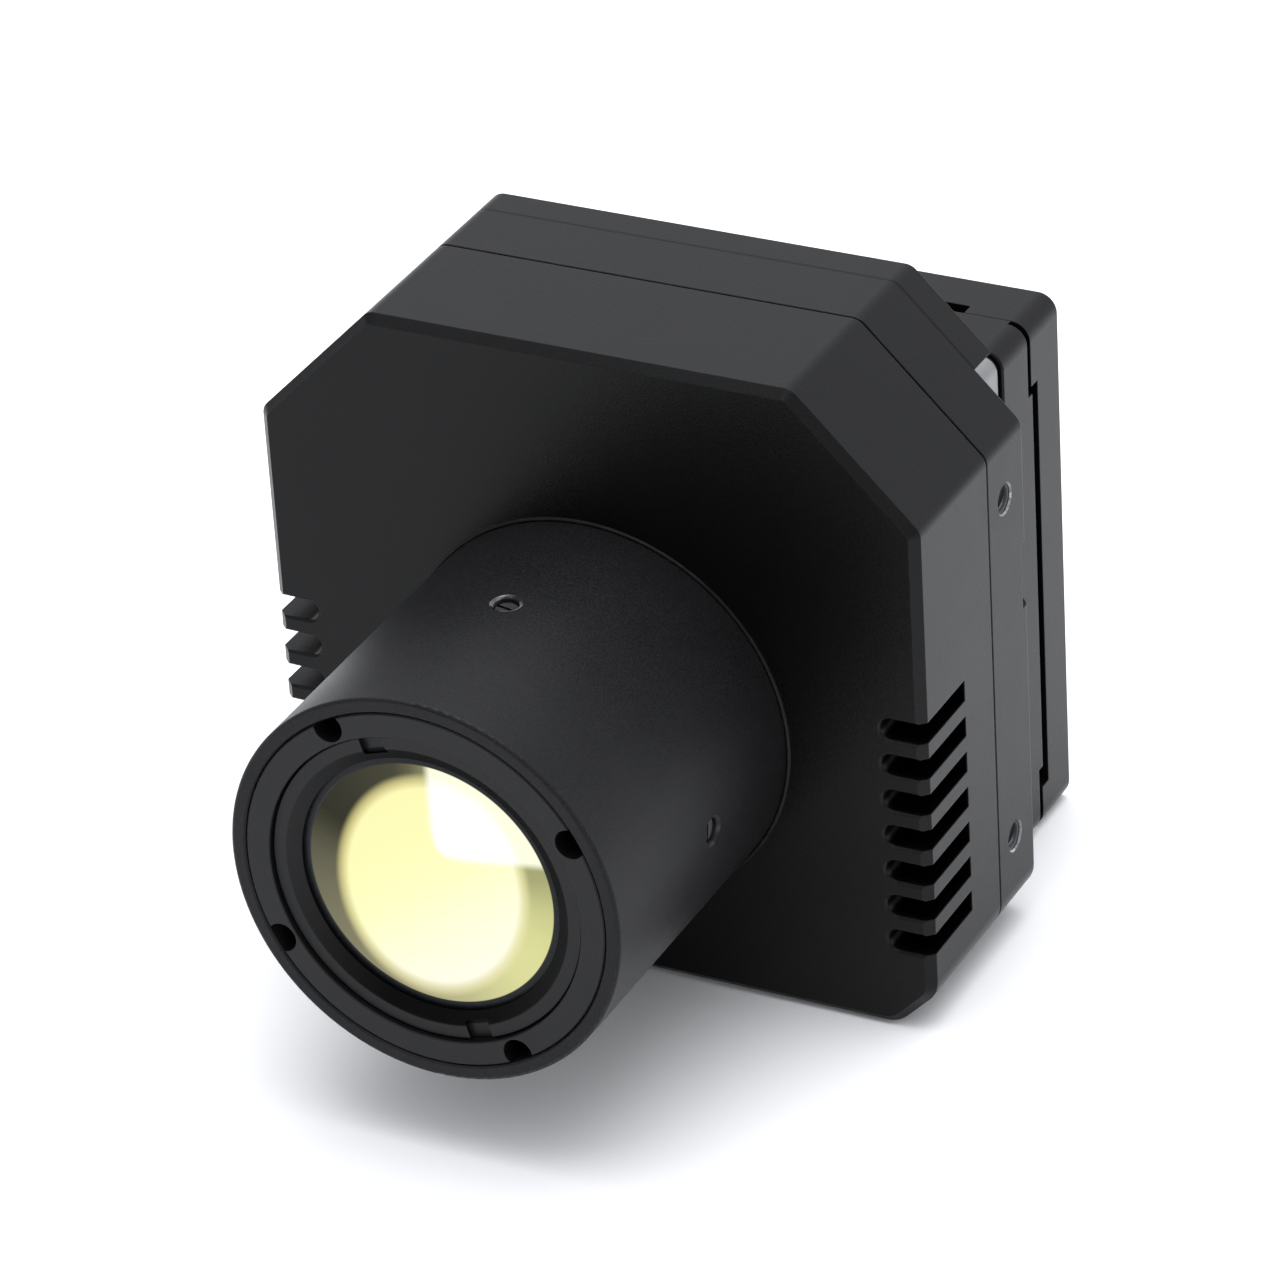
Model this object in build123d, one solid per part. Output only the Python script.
from build123d import *
import math
import os

# Compact cooled infrared camera with its own focusing lens.
# Frame: X to the right when seen from the front, Y to the rear, Z up, millimetres.
# Origin: where the optical axis crosses the front face of the front cover. Scene towards -Y.
# _A and _B are the front and rear ends of a piece in Y, _R is a radius.
# Cutting tools overshoot the faces they pierce, mostly by 1 mm.

SIDES = (1, -1)


def polar(radius, deg):
    return radius * math.cos(math.radians(deg)), radius * math.sin(math.radians(deg))


def four_corners(x, z):
    return [(side_x * x, side_z * z) for side_x in SIDES for side_z in SIDES]


def row(count, pitch):
    """Evenly spaced places centred on zero."""
    return [(i - (count - 1) / 2) * pitch for i in range(count)]


# ---- driving dimensions -------------------------------------------------------------------
BODY_HALF_W = 27.8      # half width of the front housing
BODY_TOP = 30.8         # top face above the optical axis
BODY_BOT = -23.2        # base face
TOP_CHAMFER = 10.1      # 45 degree upper corners
LOW_CHAMFER = 3.4       # 45 degree lower corners
CORNER_R = 1.3          # softening of the upper corners
LOW_CORNER_R = 2.4      # softening of the lower corners
FACE_BEVEL = 0.70       # bevel round the front face

SEAM_A = 12.58          # rear end of the front cover
SEAM_B = 12.74          # front end of the middle housing
SEAM_BREAK = 0.06       # broken edges at the seam
STEP_Y = 19.35          # rear face of the middle housing
FRONT_WALL = 3.0
BACK_WALL = 1.6         # rear wall of the middle housing
CAV_HALF_W = 22.2       # inner cavity of the two front housings
CAV_TOP = 27.5
CAV_BOT = -20.4
CAV_CHAMFER_SUM = 44.26  # |x| + z on the cavity's upper corner planes

BROW_Y = 22.33          # rear end of the brow along its top
BROW_HALF_W = 24.05
BROW_LOW = 22.45        # underside of the brow
BROW_LOW_HALF_W = 21
BROW_TIP = 24.4         # height of its thin outer ends

GROOVE_N = 7            # cooling grooves down each lower front corner
GROOVE_H = 1.8
GROOVE_PITCH = 3.13
GROOVE_TOP = 4.4        # upper edge of the highest groove
GROOVE_DEPTH_Y = 7.4
GROOVE_DEPTH_X = 3.70
GROOVE_EDGE = 0.18      # broken edge round each groove mouth

SIDE_HOLE_Y = 15.72     # M2.5 tapped side holes, 30 mm apart
SIDE_HOLE_Z = (15.75, -14.25)
SIDE_HOLE_R = 1.05
SIDE_HOLE_DEPTH = 4.5
PRY_Z = (4.7, 10.4)     # pry notch in the rear edge of the middle housing
PRY_Y = 18.45
PRY_DEPTH = 1.0

REAR_HALF_W = 23.5      # rear housing and back cover
REAR_TOP = 22.55
REAR_BOT = -23.2
REAR_R = 1.6
RING_WALL = 2.4
FRAME_A, FRAME_B = 19.42, 25.10   # bare-metal tray behind the middle housing
TRAY_FLOOR = 22.35
RING_A, RING_B = 25.50, 30.05     # rear housing
COVER_A, COVER_B = 30.68, 36.10   # back cover

# screw sizes: thread radius, head radius, head height, socket corner radius
HOUSING_SCREW = (0.77, 1.5, 1.35, 0.7)
FLANGE_SCREW = (0.77, 1.45, 1.0, 0.6)
SMALL_SCREW = (0.63, 1.3, 0.9, 0.5)
COVER_SCREW = (0.97, 1.9, 1.05, 0.9)
HOUSING_SEAT = 16.9     # undersides of the screw heads
COVER_SEAT = 34.95

# screw places (x, z)
HOUSING_SCREWS = [(25.2, 0.5), (-25.2, 0.5), (24.9, -18.6), (-24.9, -18.6)]
FLANGE_SCREWS = [polar(18.2, angle) for angle in (45, 135, 225, 315)]
SHUTTER_BOSSES = [(-8.0, 23.6), (16.6, 22.3), (17.5, -10.0), (-19.0, -10.0)]
SENSOR_BOSSES = four_corners(13.0, 17.0)
CORNERS = four_corners(19.3, 18.3)

PLATE_A, PLATE_B = 8.8, 9.6       # shutter plate
BOARD_A, BOARD_B = 18.2, 19.2     # sensor board

os.makedirs("parts", exist_ok=True)


# ---- helpers ------------------------------------------------------------------------------
def prism(sketch, y0, y1):
    """A sketch drawn in (x, z), extruded from y0 to y1."""
    return extrude(Plane.XZ.offset(-y1) * sketch, amount=y1 - y0, dir=(0, -1, 0))


def disc(radius, y0, y1, x=0.0, z=0.0):
    return prism(Pos(x, z) * Circle(radius), y0, y1)


def tube(outer, inner, y0, y1, x=0.0, z=0.0):
    return prism(Pos(x, z) * (Circle(outer) - Circle(inner)), y0, y1)


def block(width, height, y0, y1, x=0.0, z=0.0, r=0.0):
    sketch = RectangleRounded(width, height, r) if r > 0 else Rectangle(width, height)
    return prism(Pos(x, z) * sketch, y0, y1)


def turned(points):
    """A closed (radius, y) outline turned round the optical axis."""
    return revolve(make_face(Polyline(*points, close=True)), Axis.Y)


def torus_y(major, minor, y):
    return Pos(0, y, 0) * Rot(90, 0, 0) * Torus(major, minor)


def front_edges(part):
    return part.faces().sort_by(Axis.Y)[0].edges()


def back_edges(part):
    return part.faces().sort_by(Axis.Y)[-1].edges()


def drill(part, points, radius, y0, y1):
    for x, z in points:
        part -= disc(radius, y0, y1, x, z)
    return part


def counterbore(part, points, radius, y0, head_radius, seat, y1):
    for x, z in points:
        part -= disc(radius, y0, y1, x, z)
        part -= disc(head_radius, seat, y1, x, z)
    return part


def add_bosses(part, points, boss, hole):
    """Drilled bosses; boss and hole are each (radius, y0, y1)."""
    for x, z in points:
        part += disc(*boss, x, z)
        part -= disc(*hole, x, z)
    return part


def screw(x, z, tip_y, seat_y, size):
    """Cap screw along Y: tip towards -Y, head towards +Y."""
    radius, head_radius, head_height, socket_radius = size
    top_y = seat_y + head_height
    part = disc(radius, tip_y, seat_y, x, z) + disc(head_radius, seat_y, top_y, x, z)
    rim = [e for e in part.edges() if abs(e.center().Y - top_y) < 1e-4]
    part = fillet(rim, head_height * 0.22)
    tip = [e for e in part.edges() if abs(e.center().Y - tip_y) < 1e-4]
    part = chamfer(tip, radius * 0.3)
    socket = Pos(x, z) * RegularPolygon(socket_radius, 6)
    return part - prism(socket, seat_y + head_height * 0.35, top_y + 0.1)


def group(items):
    return Compound(children=[i if isinstance(i, Solid) else i.solid() for i in items])


def screws(points, tip_y, seat_y, size):
    return group([screw(x, z, tip_y, seat_y, size) for x, z in points])


def save(shape, name):
    solids = shape.solids()
    out = solids[0] if len(solids) == 1 else Compound(children=list(solids))
    export_step(out, f"parts/{name}.step")


# ---- shared outlines in (x, z) ------------------------------------------------------------
def body_sketch():
    right = [
        (BODY_HALF_W - TOP_CHAMFER, BODY_TOP), (BODY_HALF_W, BODY_TOP - TOP_CHAMFER),
        (BODY_HALF_W, BODY_BOT + LOW_CHAMFER), (BODY_HALF_W - LOW_CHAMFER, BODY_BOT)]
    left = [(-x, z) for x, z in reversed(right)]
    # starts at the left end of the top face
    sketch = Polygon(left[-1], *right, *left[:-1], align=None)
    sketch = fillet([v for v in sketch.vertices() if v.Y > 0], CORNER_R)
    low = [v for v in sketch.vertices() if v.Y < BODY_BOT + LOW_CHAMFER + 0.01]
    return fillet(low, LOW_CORNER_R)


def cavity_sketch(inset=0.0, r=1.5):
    half_w, top, bottom = CAV_HALF_W - inset, CAV_TOP - inset, CAV_BOT + inset
    corner_sum = CAV_CHAMFER_SUM - inset * math.sqrt(2)
    sketch = Polygon(
        (-(corner_sum - top), top), (corner_sum - top, top), (half_w, corner_sum - half_w),
        (half_w, bottom), (-half_w, bottom), (-half_w, corner_sum - half_w), align=None)
    return fillet(sketch.vertices(), r)


def rear_sketch(inset=0.0):
    width, height = 2 * (REAR_HALF_W - inset), REAR_TOP - REAR_BOT - 2 * inset
    outline = RectangleRounded(width, height, max(0.6, REAR_R - inset))
    return Pos(0, (REAR_TOP + REAR_BOT) / 2) * outline


# ---- front cover --------------------------------------------------------------------------
BARREL_R = 16.2
BARREL_FIT = 0.06       # radial clearance of the barrel in the cover
RIM_R, RIM_H = 16.50, 0.14   # raised rim round the barrel
TAP_R = 0.8             # holes for the housing and flange screws


def groove_sketch(side, groove_z, grow=0.0):
    """Slot with a round inner end, open through the side of the body."""
    inner = BODY_HALF_W - GROOVE_DEPTH_X + GROOVE_H / 2
    slot = Pos(side * (inner + 5), groove_z) * Rectangle(10, GROOVE_H + 2 * grow)
    return slot + Pos(side * inner, groove_z) * Circle(GROOVE_H / 2 + grow)


def front_cover():
    cover = prism(body_sketch(), 0, SEAM_A)
    cover = chamfer(front_edges(cover), FACE_BEVEL)
    cover = chamfer(back_edges(cover), SEAM_BREAK)
    cover -= prism(cavity_sketch(), FRONT_WALL, SEAM_A + 1)
    rim = disc(RIM_R, -RIM_H, 0.5)
    cover += chamfer(front_edges(rim), 0.10)
    cover -= disc(BARREL_R + BARREL_FIT, -1, FRONT_WALL + 1)
    for side in SIDES:
        for i in range(GROOVE_N):
            groove_z = GROOVE_TOP - GROOVE_H / 2 - i * GROOVE_PITCH
            cover -= prism(groove_sketch(side, groove_z), -1, GROOVE_DEPTH_Y)
            cover -= loft([
                Plane.XZ.offset(1.0) * groove_sketch(side, groove_z, 1.0 + GROOVE_EDGE),
                Plane.XZ.offset(-GROOVE_EDGE) * groove_sketch(side, groove_z)])
    cover = drill(cover, HOUSING_SCREWS, TAP_R, 8.6, SEAM_A + 1)
    return drill(cover, FLANGE_SCREWS, TAP_R, 0.8, FRONT_WALL + 0.1)


save(front_cover(), "front_cover")

# ---- middle housing -----------------------------------------------------------------------
BULKHEAD_B = 14.4
LIP_A = 10.76           # front end of the locating lip
PILOT_R = 0.65          # holes for the small screws


def brow():
    """Overhang behind the top of the middle housing."""
    band = Polygon(
        (-BROW_HALF_W, BROW_TIP), (-BROW_LOW_HALF_W, BROW_LOW), (BROW_LOW_HALF_W, BROW_LOW),
        (BROW_HALF_W, BROW_TIP), (BROW_HALF_W, 40), (-BROW_HALF_W, 40), align=None)
    part = prism(body_sketch() & band, SEAM_B + 2, BROW_Y)
    return fillet([e for e in back_edges(part) if e.center().Z > 27.0], 0.3)


def pry_notch(side):
    """Notch in the rear side edge, with sloping ends."""
    low, high = PRY_Z
    outer, inner = BODY_HALF_W + 0.5, BODY_HALF_W - PRY_DEPTH
    sketch = Polygon(
        (outer, low - 0.5), (outer, high + 0.5), (inner, high - 1.0), (inner, low + 1.0),
        align=None)
    sketch = mirror(sketch, Plane.YZ) if side < 0 else sketch
    return prism(sketch, PRY_Y, STEP_Y + 1)


def middle_housing():
    mid = prism(body_sketch(), SEAM_B, STEP_Y)
    mid = chamfer(front_edges(mid), SEAM_BREAK)
    mid = fillet(back_edges(mid), 0.35)
    mid = mid + brow()
    mid -= prism(cavity_sketch(), SEAM_B - 1, STEP_Y - BACK_WALL)
    mid -= block(42, 40, STEP_Y - BACK_WALL - 0.1, STEP_Y + 0.5, r=2.0)
    # bulkhead that carries the shutter in front and the sensor board behind
    window = block(16, 14, SEAM_B - 1, 15, r=1.0)
    mid += prism(cavity_sketch(-0.5), SEAM_B, BULKHEAD_B) - window
    # locating lip that enters the front cover
    lip = prism(cavity_sketch(0.08), LIP_A, SEAM_B + 0.2)
    mid += lip - prism(cavity_sketch(1.3, 0.9), 10, SEAM_B + 1)
    mid = add_bosses(mid, SHUTTER_BOSSES, (1.8, PLATE_B, SEAM_B + 0.5), (PILOT_R, 9.5, 12.4))
    mid = add_bosses(mid, SENSOR_BOSSES, (1.9, 14.0, BOARD_A), (PILOT_R, 15.2, 18.3))
    mid = add_bosses(mid, CORNERS, (2.3, 14.0, STEP_Y), (1.0, 14.6, BROW_Y + 1))
    mid = counterbore(
        mid, HOUSING_SCREWS, 0.88, SEAM_B - 1, 1.65, HOUSING_SEAT, STEP_Y + 1)
    for side in SIDES:
        for hole_z in SIDE_HOLE_Z:
            mouth = Pos(side * BODY_HALF_W, SIDE_HOLE_Y, hole_z) * Rot(0, 90 * side, 0)
            bore = Cylinder(SIDE_HOLE_R, SIDE_HOLE_DEPTH + 1)
            mid -= mouth * Pos(0, 0, -SIDE_HOLE_DEPTH / 2 + 0.5) * bore
            mid -= mouth * Pos(0, 0, -0.14) * Cone(SIDE_HOLE_R, SIDE_HOLE_R + 0.3, 0.3)
        mid -= pry_notch(side)
    return mid


def housing_gasket():
    gasket = prism(offset(body_sketch(), -0.4), SEAM_A, SEAM_B)
    gasket -= prism(cavity_sketch(-0.25), SEAM_A - 1, SEAM_B + 1)
    return drill(gasket, HOUSING_SCREWS, 1.3, SEAM_A - 1, SEAM_B + 1)


save(middle_housing(), "middle_housing")
save(housing_gasket(), "housing_gasket")
save(screws(HOUSING_SCREWS, 9.0, HOUSING_SEAT, HOUSING_SCREW), "housing_screws")

# ---- lens barrel --------------------------------------------------------------------------
RELIEF_R, RELIEF_W = 16.0, 0.7   # relief groove just inside the cover
BARREL_FRONT = -28.25
BARREL_BACK = 5.2
BARREL_BORE_R = 15.0    # front counterbore
BARREL_GUIDE_R = 13.5   # guide bore behind it
BARREL_STEP_Y = -17.5
FLANGE_R = 20.0
SEAL_R, SEAL_A, SEAL_B = 15.3, 1.2, 2.4   # O-ring groove
LOCK_Y = -12.7          # focus lock screws
LOCK_HOLE_R = 1.0
LOCK_SCREW_R = 0.95
LOCK_SCREW_TIP = 13.55  # ends of a tightened lock screw, from the axis
LOCK_SCREW_TOP = 15.75
LOCKS = {"top": 90, "right": 0, "bottom": 270, "left": 180}


def lock_place(angle):
    """Local Z points outward from the axis at this angle."""
    return Pos(0, LOCK_Y, 0) * Rot(0, 90 - angle, 0)


def lens_barrel():
    barrel = turned([   # (radius, y)
        (BARREL_BORE_R + 0.15, BARREL_FRONT), (BARREL_R, BARREL_FRONT),
        (BARREL_R, 0), (RELIEF_R, 0), (RELIEF_R, RELIEF_W), (BARREL_R, RELIEF_W),
        (BARREL_R, SEAL_A), (SEAL_R, SEAL_A), (SEAL_R, SEAL_B), (BARREL_R, SEAL_B),
        (BARREL_R, FRONT_WALL), (FLANGE_R, FRONT_WALL), (FLANGE_R, BARREL_BACK),
        (BARREL_GUIDE_R + 0.2, BARREL_BACK), (BARREL_GUIDE_R, BARREL_BACK - 0.2),
        (BARREL_GUIDE_R, BARREL_STEP_Y),
        (BARREL_BORE_R, BARREL_STEP_Y), (BARREL_BORE_R, BARREL_FRONT + 0.15)])
    front_rim = [
        e for e in barrel.edges()
        if e.geom_type == GeomType.CIRCLE
        and abs(e.radius - BARREL_R) < 1e-3 and abs(e.center().Y - BARREL_FRONT) < 1e-3]
    barrel = fillet(front_rim, 0.30)
    for angle in LOCKS.values():
        place = lock_place(angle)
        barrel -= place * Pos(0, 0, 15) * Cylinder(LOCK_HOLE_R, 8)
        flare = Cone(LOCK_HOLE_R, LOCK_HOLE_R + 0.32, 0.32)
        barrel -= place * Pos(0, 0, BARREL_R - 0.06) * flare
    return drill(barrel, FLANGE_SCREWS, 0.9, FRONT_WALL - 1, BARREL_BACK + 1)


def lock_screw():
    """Slotted grub screw, upright on local Z."""
    length = LOCK_SCREW_TOP - LOCK_SCREW_TIP
    middle = (LOCK_SCREW_TIP + LOCK_SCREW_TOP) / 2
    part = Pos(0, 0, middle) * Cylinder(LOCK_SCREW_R, length)
    part = chamfer(part.edges().group_by(Axis.Z)[0], 0.30)
    part = chamfer(part.edges().group_by(Axis.Z)[-1], 0.10)
    return part - Pos(0, 0, LOCK_SCREW_TOP) * Rot(0, 0, -11) * Box(3, 0.30, 0.9)


save(lens_barrel(), "lens_barrel")
save(torus_y(15.78, 0.44, (SEAL_A + SEAL_B) / 2), "barrel_o_ring")
save(screws(FLANGE_SCREWS, 1.0, BARREL_BACK, FLANGE_SCREW), "barrel_flange_screws")
for place_name, angle in LOCKS.items():
    save(lock_place(angle) * lock_screw(), f"focus_lock_screw_{place_name}")

# ---- focusing lens cell -------------------------------------------------------------------
CELL_R = 14.93
CELL_GUIDE_R = 13.45
CELL_FRONT = -28.2
CELL_STEP_Y = -18.6
CELL_BACK = -1.5
CELL_POCKET_R = 12.95   # front lens pocket
CELL_SEAT_Y = -22.05    # floor of that pocket
CELL_BORE_R = 9.6       # rear lens bore
FRICTION_R, FRICTION_A, FRICTION_B = 12.70, -4.05, -2.75   # friction ring groove
NOTCH_R = 1.2
NOTCH_DEPTH = 3.0
NOTCHES = [polar(14.35, angle) for angle in (29, 119, 209, 299)]


def lens_cell():
    cell = turned([     # (radius, y)
        (CELL_POCKET_R + 0.08, CELL_FRONT), (CELL_R - 0.12, CELL_FRONT),
        (CELL_R, CELL_FRONT + 0.12), (CELL_R, CELL_STEP_Y),
        (CELL_GUIDE_R, CELL_STEP_Y), (CELL_GUIDE_R, FRICTION_A),
        (FRICTION_R, FRICTION_A), (FRICTION_R, FRICTION_B), (CELL_GUIDE_R, FRICTION_B),
        (CELL_GUIDE_R, CELL_BACK - 0.3), (CELL_GUIDE_R - 0.3, CELL_BACK),
        (CELL_BORE_R + 0.2, CELL_BACK), (CELL_BORE_R, CELL_BACK - 0.2),
        (CELL_BORE_R, -9.5), (8.8, -9.5), (8.8, -10.2), (11.4, -21.0), (11.4, CELL_SEAT_Y),
        (CELL_POCKET_R, CELL_SEAT_Y), (CELL_POCKET_R, CELL_FRONT + 0.08)])
    return drill(cell, NOTCHES, NOTCH_R, CELL_FRONT - 1, CELL_FRONT + NOTCH_DEPTH)


save(lens_cell(), "lens_cell")
save(torus_y(13.10, 0.375, (FRICTION_A + FRICTION_B) / 2), "focus_friction_ring")

# ---- lenses and their rings ---------------------------------------------------------------
# lens surfaces: vertex y, radius of curvature, aperture radius
FRONT_LENS_FRONT = (-27.50, 90.0, 10.9)
FRONT_LENS_BACK = (-23.22, 55.0, 11.2)
REAR_LENS_FRONT = (-10.2, 30.0, 8.4)
REAR_LENS_BACK = (-6.6, 80.0, 8.4)
LENS_STEP_Y = -25.61    # front of the step that the retaining ring holds
RETAINER_A, RETAINER_B = -27.78, LENS_STEP_Y - 0.80
SPANNER_ANGLE = 107


def surface_points(vertex_y, curvature, aperture):
    """Axis, half-aperture and rim points of a surface, as (radius, y)."""
    return [
        (r, vertex_y + curvature - math.sqrt(curvature ** 2 - r ** 2))
        for r in (0, aperture / 2, aperture)]


def lens(front, edge_points, back):
    """Lens turned from two surfaces joined by (radius, y) edge points."""
    front_arc = surface_points(*front)
    back_arc = surface_points(*back)[::-1]
    with BuildSketch(Plane.XY) as profile:
        with BuildLine():
            ThreePointArc(*front_arc)
            Polyline(front_arc[-1], *edge_points, back_arc[0])
            ThreePointArc(*back_arc)
            Line(back_arc[-1], front_arc[0])
        make_face()
    return revolve(profile.sketch, Axis.Y)


def front_lens():
    back_rim_y = surface_points(*FRONT_LENS_BACK)[-1][1]
    edge = [
        (12.05, LENS_STEP_Y), (12.7, LENS_STEP_Y), (12.85, LENS_STEP_Y + 0.15),
        (12.85, back_rim_y)]
    return lens(FRONT_LENS_FRONT, edge, FRONT_LENS_BACK)


def rear_lens():
    edge = [(8.4, -9.02), (8.7, -9.48), (9.5, -9.48), (9.5, -5.6), (8.4, -5.6)]
    return lens(REAR_LENS_FRONT, edge, REAR_LENS_BACK)


def front_retaining_ring():
    ring = turned([     # (radius, y)
        (11.78, RETAINER_A), (12.76, RETAINER_A), (12.90, RETAINER_A + 0.14),
        (12.90, RETAINER_B), (11.55, RETAINER_B), (10.90, -27.00),
        (10.73, -27.05), (10.73, -27.20)])
    for angle in (SPANNER_ANGLE, SPANNER_ANGLE + 180):
        x, z = polar(12.35, angle)
        slot = Pos(0.3, RETAINER_A, 0) * Box(2.6, 0.86, 2.0)
        ring -= Pos(x, 0, z) * Rot(0, -angle, 0) * slot
    return ring


def rear_retaining_ring():
    ring = turned([(8.5, -5.6), (9.55, -5.6), (9.55, -3.7), (8.9, -3.7), (8.5, -4.1)])
    for side in SIDES:
        ring -= Pos(side * 9.2, -3.7, 0) * Box(2.6, 1.4, 1.6)
    return ring


save(front_lens(), "front_lens")
save(front_retaining_ring(), "front_retaining_ring")
save(torus_y(12.30, 0.385, LENS_STEP_Y - 0.395), "front_lens_seal")
save(rear_lens(), "rear_lens")
save(rear_retaining_ring(), "rear_retaining_ring")

# ---- shutter ------------------------------------------------------------------------------
PIVOT = (-17.0, 20.0)
OPEN_DEG = 36.0
BLADE_R = 7.6
BLADE_A, BLADE_B = 10.0, 10.2
ARM_WIDTH = 4.0
ARM_LENGTH = math.hypot(*PIVOT)
CLOSED_ANGLE = math.degrees(math.atan2(-PIVOT[1], -PIVOT[0]))
REST_ANGLE = CLOSED_ANGLE + OPEN_DEG    # blade drawn open
SHAFT_R = 0.75
SHAFT_B = 10.6
MOTOR_R = 4.0
MOTOR_A = 4.0
STOP_REACH = 9.0        # stop pins, along the arm from the pivot
STOP_OFFSET = ARM_WIDTH / 2 + 0.75   # and sideways from its centreline


def shutter_plate():
    outline = Polygon(
        (-21.4, -12.6), (20.4, -12.6), (20.4, 23.0), (19.0, 24.6),
        (-5.2, 26.4), (-16.6, 26.4), (-21.4, 21.6), align=None)
    outline = fillet(outline.vertices(), 0.9)
    plate = prism(outline, PLATE_A, PLATE_B) - disc(6.8, 8, 10) - disc(0.80, 8, 10, *PIVOT)
    return drill(plate, SHUTTER_BOSSES, 0.85, 8, 10)


def shutter_plate_screws():
    """Screws turned round so that their heads face the front."""
    return group([
        Rot(0, 0, 180) * screw(-x, z, -12.2, -PLATE_A, SMALL_SCREW)
        for x, z in SHUTTER_BOSSES])


def shutter_blade():
    reach_x, reach_z = polar(ARM_LENGTH, REST_ANGLE)
    arm = Rot(0, 0, REST_ANGLE) * Rectangle(ARM_LENGTH, ARM_WIDTH)
    arm = Pos(PIVOT[0] + reach_x / 2, PIVOT[1] + reach_z / 2) * arm
    sketch = Pos(PIVOT[0] + reach_x, PIVOT[1] + reach_z) * Circle(BLADE_R) + arm
    sketch += Pos(*PIVOT) * Circle(2.4)
    blade = prism(sketch, BLADE_A, BLADE_B) + disc(2.2, 9.75, SHAFT_B, *PIVOT)
    return blade - disc(SHAFT_R, 9, 11, *PIVOT)


def shutter_motor():
    motor = disc(MOTOR_R, MOTOR_A, PLATE_A, *PIVOT) - disc(2.6, 4.6, 8.2, *PIVOT)
    motor -= disc(0.80, MOTOR_A - 0.1, PLATE_A + 0.1, *PIVOT)
    # shallow groove round the outside
    return motor - tube(MOTOR_R + 0.1, MOTOR_R - 0.25, 6.2, 6.6, *PIVOT)


def shutter_stop_pins():
    pins = []
    for angle, side in ((CLOSED_ANGLE, -1), (REST_ANGLE, 1)):
        along_x, along_z = polar(STOP_REACH, angle)
        across_x, across_z = polar(side * STOP_OFFSET, angle + 90)
        x, z = PIVOT[0] + along_x + across_x, PIVOT[1] + along_z + across_z
        pins.append(disc(0.6, PLATE_B, 10.8, x, z))
    return group(pins)


save(shutter_plate(), "shutter_plate")
save(shutter_plate_screws(), "shutter_plate_screws")
save(shutter_blade(), "shutter_blade")
save(disc(SHAFT_R, 4.3, SHAFT_B, *PIVOT), "shutter_shaft")
save(tube(2.5, SHAFT_R, 4.9, 7.9, *PIVOT), "shutter_magnet")
save(shutter_motor(), "shutter_motor")
save(shutter_stop_pins(), "shutter_stop_pins")

# ---- detector and thermoelectric cooler ---------------------------------------------------
PACKAGE_A, PACKAGE_B = 14.6, 17.6
WINDOW_B = 15.0
CHIP_B = 17.0           # also the floor of the package cavity
COLD_B = 18.2           # the cold plate starts at the package
HOT_A, HOT_B = 19.9, 20.5
SPREADER_B = 21.85
COOLER_W = 14.4
FLEX_Z = -14.2          # flex cable between sensor and processor boards
FLEX_A, FLEX_B = 20.3, 25.7


def detector_package():
    package = block(24, 22, PACKAGE_A, PACKAGE_B, r=0.8)
    package -= block(14.2, 12.2, PACKAGE_A - 0.1, WINDOW_B, r=0.5)
    return package - block(12.4, 10.4, WINDOW_B - 0.1, CHIP_B, r=0.5)


def sensor_board():
    board = block(32.0, 39.0, BOARD_A, BOARD_B, r=1.0)
    board += block(41.0, 26.0, BOARD_A, BOARD_B, r=1.0)
    board -= block(16.2, 16.2, 18, 20, r=0.5)
    return drill(board, SENSOR_BOSSES, 0.85, 18, 20)


save(detector_package(), "detector_package")
save(block(14.0, 12.0, 14.3, WINDOW_B, r=0.45), "detector_window")
save(block(9.6, 8.0, 16.4, CHIP_B), "sensor_chip")
save(group([disc(0.25, PACKAGE_B, BOARD_A, x, z) for z in (-9.8, 9.8) for x in row(10, 2.2)]),
     "detector_pins")
save(block(COOLER_W, COOLER_W, PACKAGE_B, COLD_B, r=0.3), "cooler_cold_plate")
save(group([block(1.3, 1.3, COLD_B, HOT_A, x, z) for x in row(5, 2.7) for z in row(5, 2.7)]),
     "cooler_pellets")
save(block(COOLER_W, COOLER_W, HOT_A, HOT_B, r=0.3), "cooler_hot_plate")
save(block(34, 27, HOT_B, SPREADER_B, z=2.5, r=1.5), "heat_spreader")
save(block(30, 24, SPREADER_B, TRAY_FLOOR, z=2.5, r=1.0), "thermal_pad")
save(sensor_board(), "sensor_board")
save(screws(SENSOR_BOSSES, 15.6, BOARD_B, SMALL_SCREW), "sensor_board_screws")
save(block(12, 2.6, BOARD_B, FLEX_A, z=FLEX_Z), "sensor_board_connector")
save(block(10.4, 0.16, FLEX_A, FLEX_B, z=FLEX_Z), "sensor_flex_cable")

# ---- heat sink frame, rear housing, back cover --------------------------------------------
TONGUE_Y = 30.80        # the rear housing's tongues end here
TONGUE_Z = (-17.4, 16.4)
TONGUE_X = 16.6
RECESS_Y = 31.85        # the back cover is set back to here behind them
RECESS_Z = (-19.3, 17.1)
RECESS_X = 18.0
CORNER_HOLE_R = 1.15
USB_POS = (-8.5, -9.0)
AUX_POS = (8.0, -9.0)


def heat_sink_frame():
    frame = prism(rear_sketch(0.25), FRAME_A, FRAME_B)
    frame = chamfer([*front_edges(frame), *back_edges(frame)], 0.1)
    frame -= prism(rear_sketch(2.6), FRAME_A - 1, TRAY_FLOOR)
    for x, z in CORNERS:
        frame += block(5.2, 5.2, FRAME_A, TRAY_FLOOR + 0.5, x, z, 0.8)
    # slot for the flex cable, then a shallow recess in the rear face
    frame -= block(12.4, 3.0, FRAME_A - 1, FRAME_B + 1, z=FLEX_Z, r=0.6)
    frame -= block(26, 20, FRAME_B - 1.2, FRAME_B + 1, z=3.0, r=1.5)
    return drill(frame, CORNERS, CORNER_HOLE_R, FRAME_A - 1, FRAME_B + 1)


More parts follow.
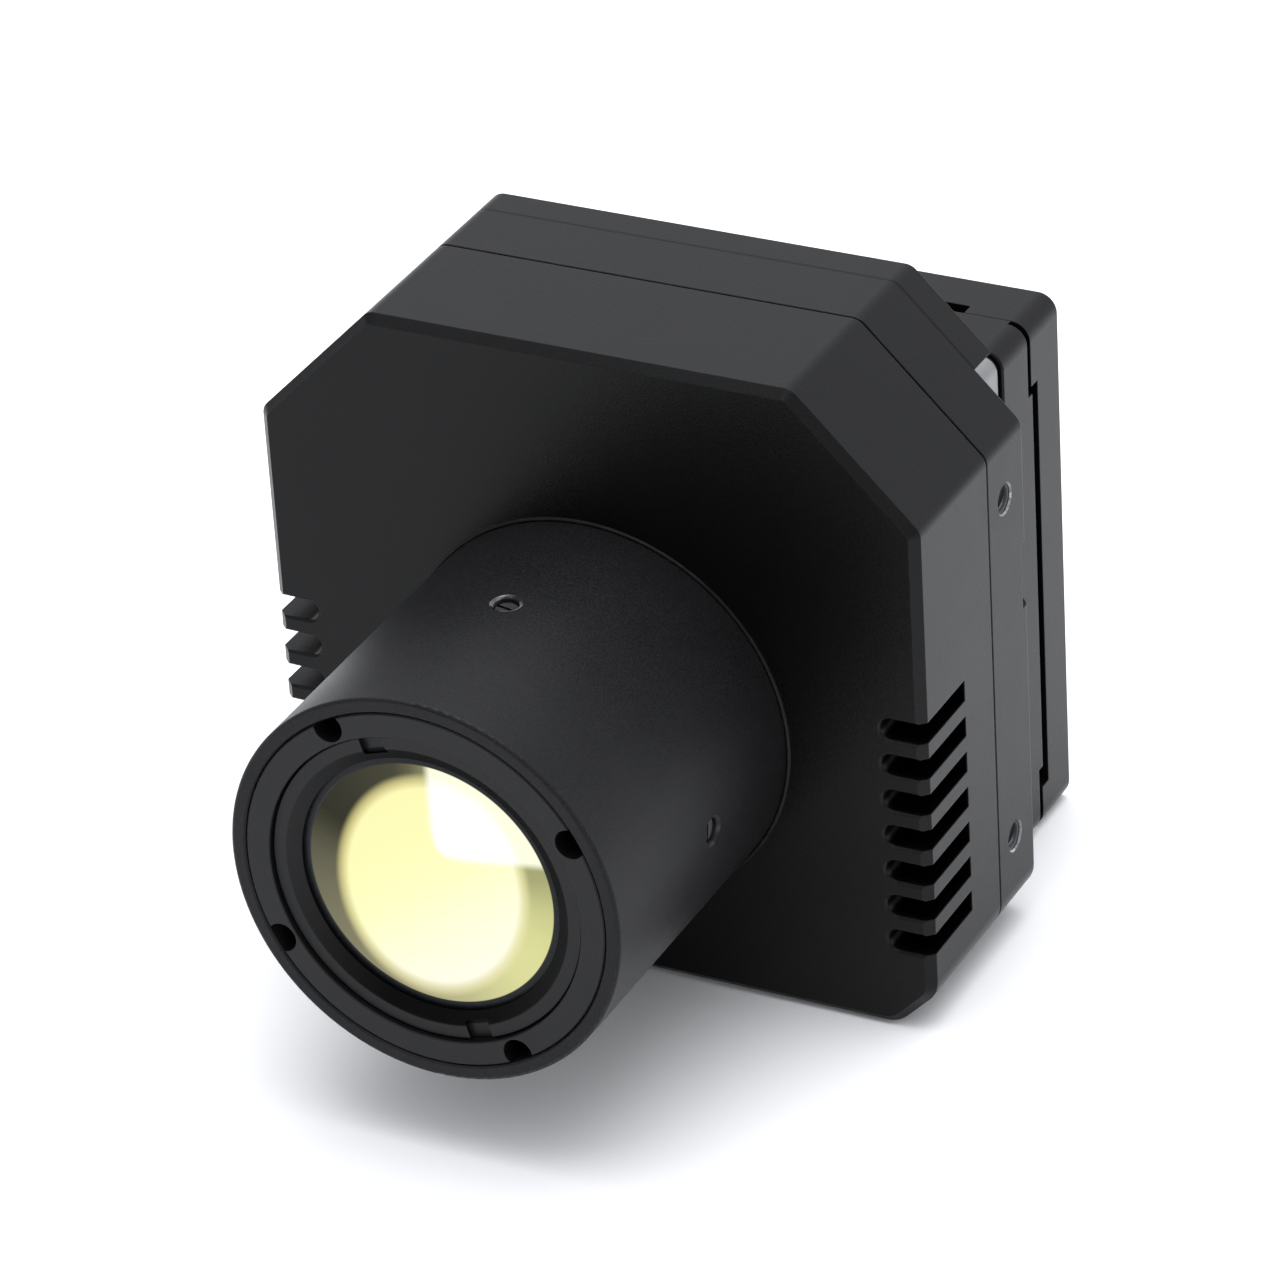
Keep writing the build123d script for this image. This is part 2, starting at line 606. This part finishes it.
def frame_gasket():
    gasket = prism(rear_sketch(0.5), FRAME_B, RING_A)
    return gasket - prism(rear_sketch(RING_WALL - 0.1), FRAME_B - 1, RING_A + 1)


def seam_boxes(y0, y1, z_span, half_x):
    """The stretches of the four sides where the rear seam steps back."""
    middle, depth = (y0 + y1) / 2, y1 - y0
    boxes = []
    for side, edge_z in ((1, REAR_TOP), (-1, REAR_BOT)):
        upright = Box(6, depth, z_span[1] - z_span[0])
        boxes.append(Pos(side * REAR_HALF_W, middle, sum(z_span) / 2) * upright)
        boxes.append(Pos(0, middle, edge_z) * Box(2 * half_x, depth, 6))
    return boxes


def rear_housing():
    outer = prism(rear_sketch(), RING_A, RING_B)
    outer = chamfer(front_edges(outer), 0.15)
    ring = outer + prism(rear_sketch(1.15), RING_B - 1, 32.8)
    tongue_band = prism(rear_sketch(), RING_B - 0.5, TONGUE_Y)
    for box in seam_boxes(RING_B - 0.5, TONGUE_Y, TONGUE_Z, TONGUE_X):
        ring += tongue_band & box
    # the seam closes up along the top
    top_box = Pos(0, RING_B, REAR_TOP) * Box(2 * (REAR_HALF_W - REAR_R), 4, 2.4)
    ring += prism(rear_sketch(), RING_B - 0.5, COVER_A - 0.08) & top_box
    return ring - prism(rear_sketch(RING_WALL), RING_A - 1, 34)


def back_cover():
    cover = prism(rear_sketch(), COVER_A, COVER_B)
    cover = fillet(back_edges(cover), 0.25)
    cover -= prism(rear_sketch(1.05), COVER_A - 1, 33.1)
    cover -= prism(rear_sketch(RING_WALL), 33.0, 34.3)
    for box in seam_boxes(COVER_A - 0.5, RECESS_Y, RECESS_Z, RECESS_X):
        cover -= box
    # two socket openings, then a shallow panel in the rear face
    cover -= block(9.6, 3.8, 34, 37, *USB_POS, 1.8)
    cover -= block(13.2, 5.4, 34, 37, *AUX_POS, 0.6)
    cover -= block(33, 22, 35.8, 37, z=6.5, r=1.5)
    return counterbore(cover, CORNERS, CORNER_HOLE_R, 34, 2.05, COVER_SEAT, 37)


save(heat_sink_frame(), "heat_sink_frame")
save(frame_gasket(), "frame_gasket")
save(rear_housing(), "rear_housing")
save(back_cover(), "back_cover")
save(screws(CORNERS, 14.8, COVER_SEAT, COVER_SCREW), "back_cover_screws")

# ---- rear electronics ---------------------------------------------------------------------
PROC_A, PROC_B = 26.6, 27.8     # processor board
IFACE_A, IFACE_B = 31.2, 32.2   # interface board
MEZZ_POS = (5.5, -12.5)         # connector between the two boards
MEZZ_SPLIT = 29.5               # where its halves meet


def rear_board(y0, y1):
    return drill(block(41.6, 39.7, y0, y1, r=1.6), CORNERS, 1.2, y0 - 1, y1 + 1)


def board_spacers():
    spans = ((FRAME_B, PROC_A), (PROC_B, IFACE_A), (IFACE_B, 34.3))
    return group([tube(1.75, 1.15, *span, x, z) for x, z in CORNERS for span in spans])


def board_capacitors():
    low_row = [block(1.2, 0.7, PROC_B, 28.5, -14 + 2.6 * i, -5.2) for i in range(10)]
    side_row = [block(0.7, 1.2, PROC_B, 28.5, 16.0, -4 + 2.6 * i) for i in range(6)]
    return group(low_row + side_row)


def mezzanine_plug():
    base = block(14, 4.6, PROC_B, MEZZ_SPLIT, *MEZZ_POS)
    return base + block(12.4, 3.0, 29.0, 30.5, *MEZZ_POS)


def mezzanine_socket():
    shell = block(14, 4.6, MEZZ_SPLIT, IFACE_A, *MEZZ_POS)
    return shell - block(12.6, 3.2, MEZZ_SPLIT - 0.1, 30.6, *MEZZ_POS)


def usb_socket_shell():
    shell = block(9.0, 3.2, IFACE_B, 36.0, *USB_POS, 1.55)
    return shell - block(8.4, 2.6, 32.8, 36.2, *USB_POS, 1.25)


def aux_socket():
    x, z = AUX_POS
    socket = block(12.6, 4.8, IFACE_B, 35.8, x, z, 0.3) - block(11.4, 3.6, 33.0, 36, x, z)
    # notch in the upper wall
    return socket - block(3.0, 1.4, 34.4, 36.0, x, z + 2.0)


save(rear_board(PROC_A, PROC_B), "processor_board")
save(rear_board(IFACE_A, IFACE_B), "interface_board")
save(board_spacers(), "board_spacers")
save(block(12, 2.4, FLEX_B, PROC_A, z=FLEX_Z), "processor_flex_connector")
save(block(15, 15, PROC_B, 29.3, -6.5, 5.0), "processor_chip")
save(group([block(9, 6, PROC_B, 28.9, 8.5, z) for z in (9.5, 1.0)]), "memory_chips")
save(board_capacitors(), "board_capacitors")
save(group([block(4, 4, 29.2, IFACE_A, x, -14.2, 0.5) for x in (-13, -7)]), "power_inductors")
save(mezzanine_plug(), "mezzanine_plug")
save(mezzanine_socket(), "mezzanine_socket")
save(usb_socket_shell(), "usb_socket_shell")
save(block(6.7, 0.7, 32.8, 35.4, *USB_POS), "usb_contact_tongue")
save(aux_socket(), "aux_socket")
save(group([block(0.4, 0.4, 33.0, 35.0, AUX_POS[0] + x, AUX_POS[1]) for x in row(8, 1.25)]),
     "aux_contacts")
